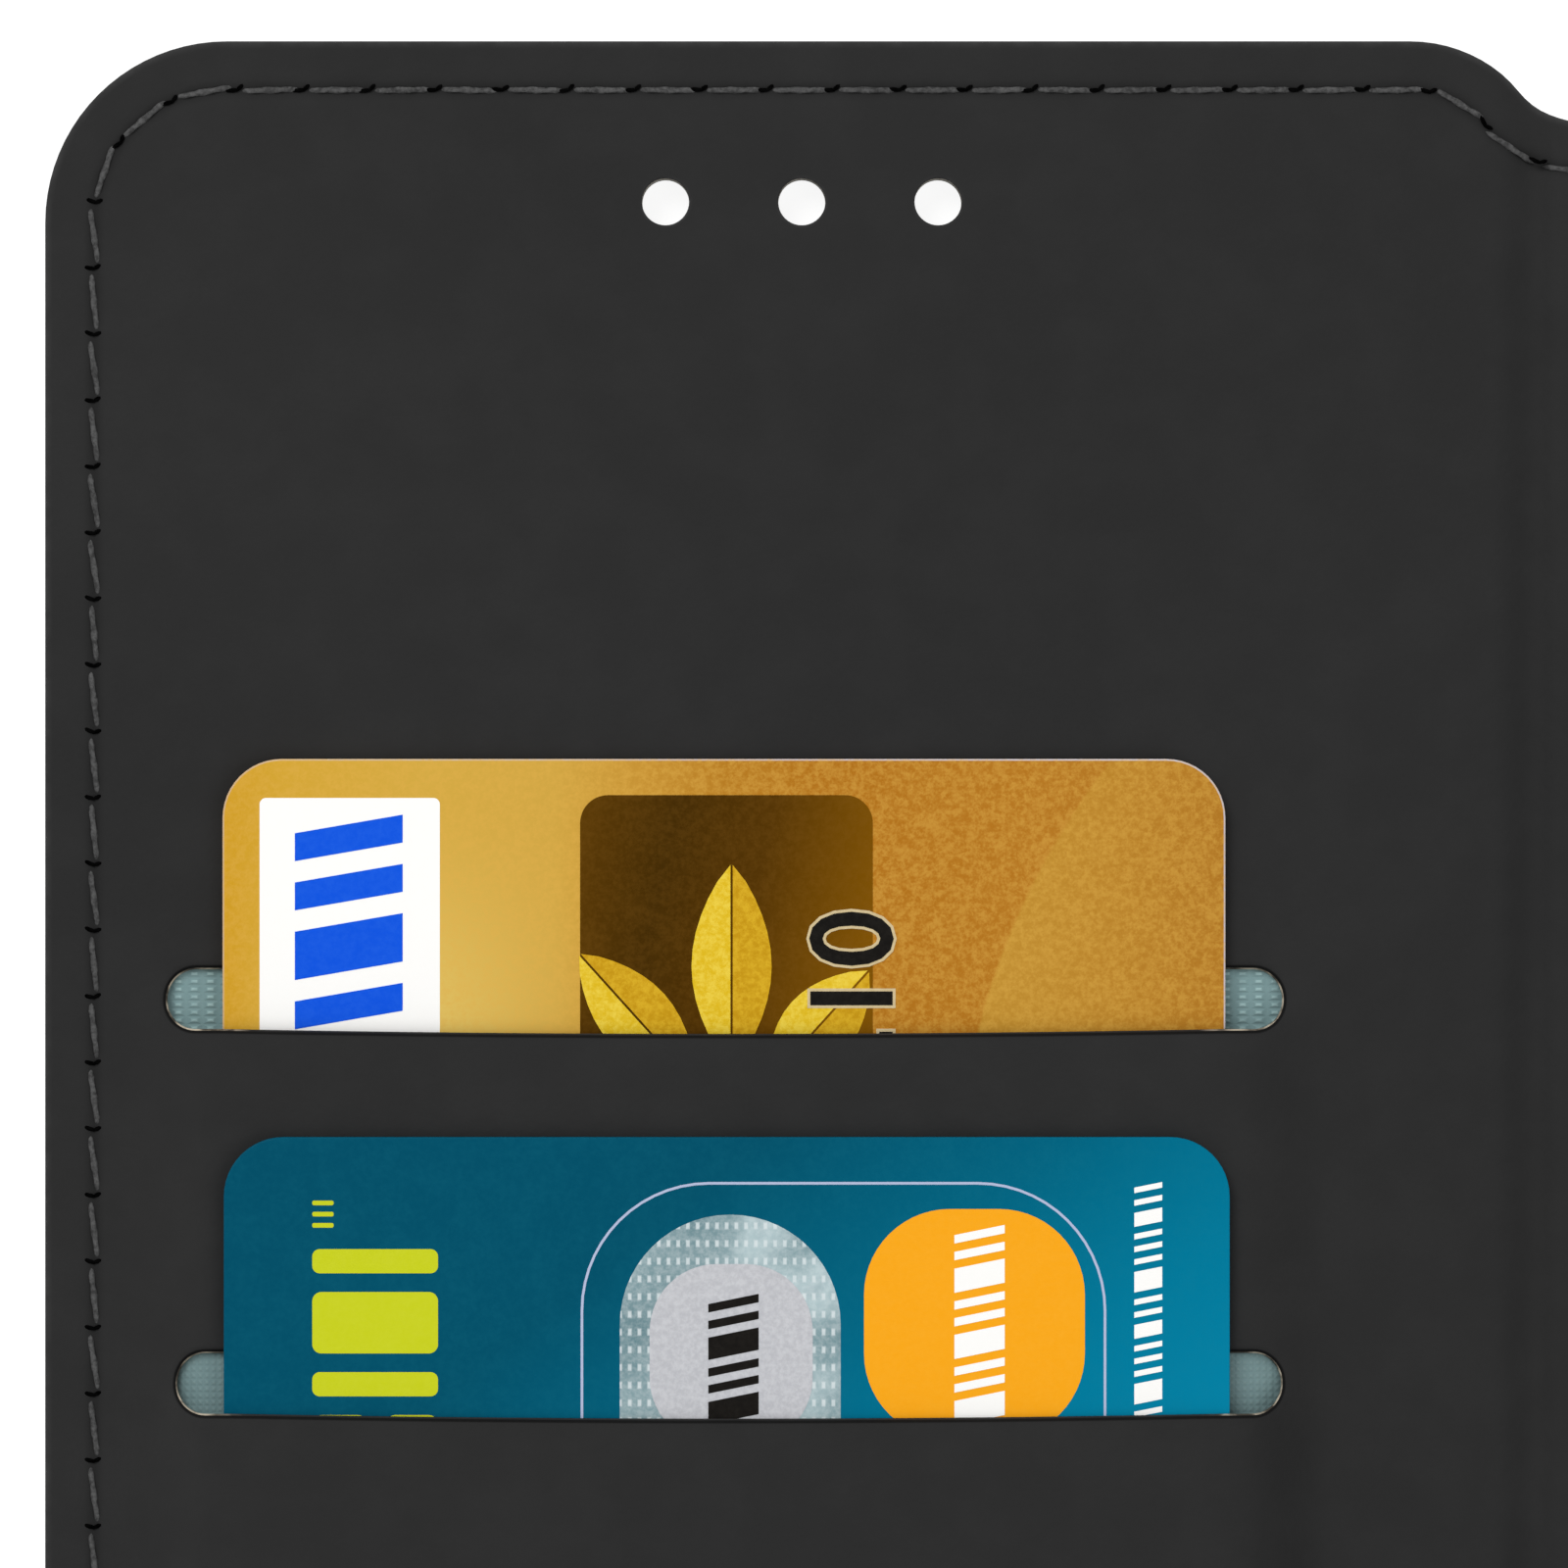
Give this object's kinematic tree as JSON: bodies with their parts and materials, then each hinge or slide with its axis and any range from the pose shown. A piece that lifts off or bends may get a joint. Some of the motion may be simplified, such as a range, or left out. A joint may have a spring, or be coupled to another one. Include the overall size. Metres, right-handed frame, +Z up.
{
  "type": "book-style phone wallet with card pockets",
  "caption": "Folding phone wallet: a stitched flap with card pockets and cards, a spine, and a back cover with a moulded phone tray.",
  "frame": {"origin": "middle of the footprint of the case lying open, on the surface it lies on", "axes": "+X from the flap's free edge to the back cover's, +Y towards the top of the phone, +Z up out of the inner side"},
  "size_m": [0.1796, 0.156, 0.0118],
  "materials": {
    "outer_leather": "matte black, fine grain",
    "inner_leather": "matte black, soft nap",
    "stiffener_board": "raw grey board",
    "magnet_plate": "plated",
    "mesh_fabric": "blue-grey mesh",
    "plain_fabric": "blue-grey, plain",
    "seam_thread": "dark grey twisted thread",
    "gold_card": "printed, satin",
    "teal_card": "printed, satin",
    "adhesive_pad": "double-sided pad",
    "tray_plastic": "soft satin black"
  },
  "bodies": {
    "front_flap": {"front_outer_skin": "outer_leather", "front_board": "stiffener_board", "front_magnet": "magnet_plate", "front_lining": "inner_leather", "upper_pocket_liner": "mesh_fabric", "lower_pocket_liner": "plain_fabric", "front_thread": "seam_thread"},
    "spine": {"spine_outer_skin": "outer_leather", "spine_board": "stiffener_board", "spine_lining": "inner_leather", "spine_thread_top": "seam_thread", "spine_thread_bottom": "seam_thread"},
    "back_cover": {"back_outer_skin": "outer_leather", "back_board": "stiffener_board", "back_magnet": "magnet_plate", "back_lining": "inner_leather", "back_thread": "seam_thread", "tray_adhesive_pad": "adhesive_pad", "phone_tray": "tray_plastic"},
    "card_upper": {"upper_card": "gold_card"},
    "card_lower": {"lower_card": "teal_card"}
  },
  "joints": [
    {"name": "front_fold", "type": "hinge", "parent": "front_flap", "child": "spine", "pos_m": [-0.00856, 0, 0.00035], "axis": [0, -1, 0], "range_deg": [-90, 90]},
    {"name": "back_fold", "type": "hinge", "parent": "spine", "child": "back_cover", "pos_m": [0.00856, 0, 0.00035], "axis": [0, -1, 0], "range_deg": [-90, 90]},
    {"name": "upper_card_slide", "type": "slide", "parent": "front_flap", "child": "card_upper", "axis": [0, 1, 0], "range_m": [0, 0.07]},
    {"name": "lower_card_slide", "type": "slide", "parent": "front_flap", "child": "card_lower", "axis": [0, 1, 0], "range_m": [0, 0.07]}
  ]
}
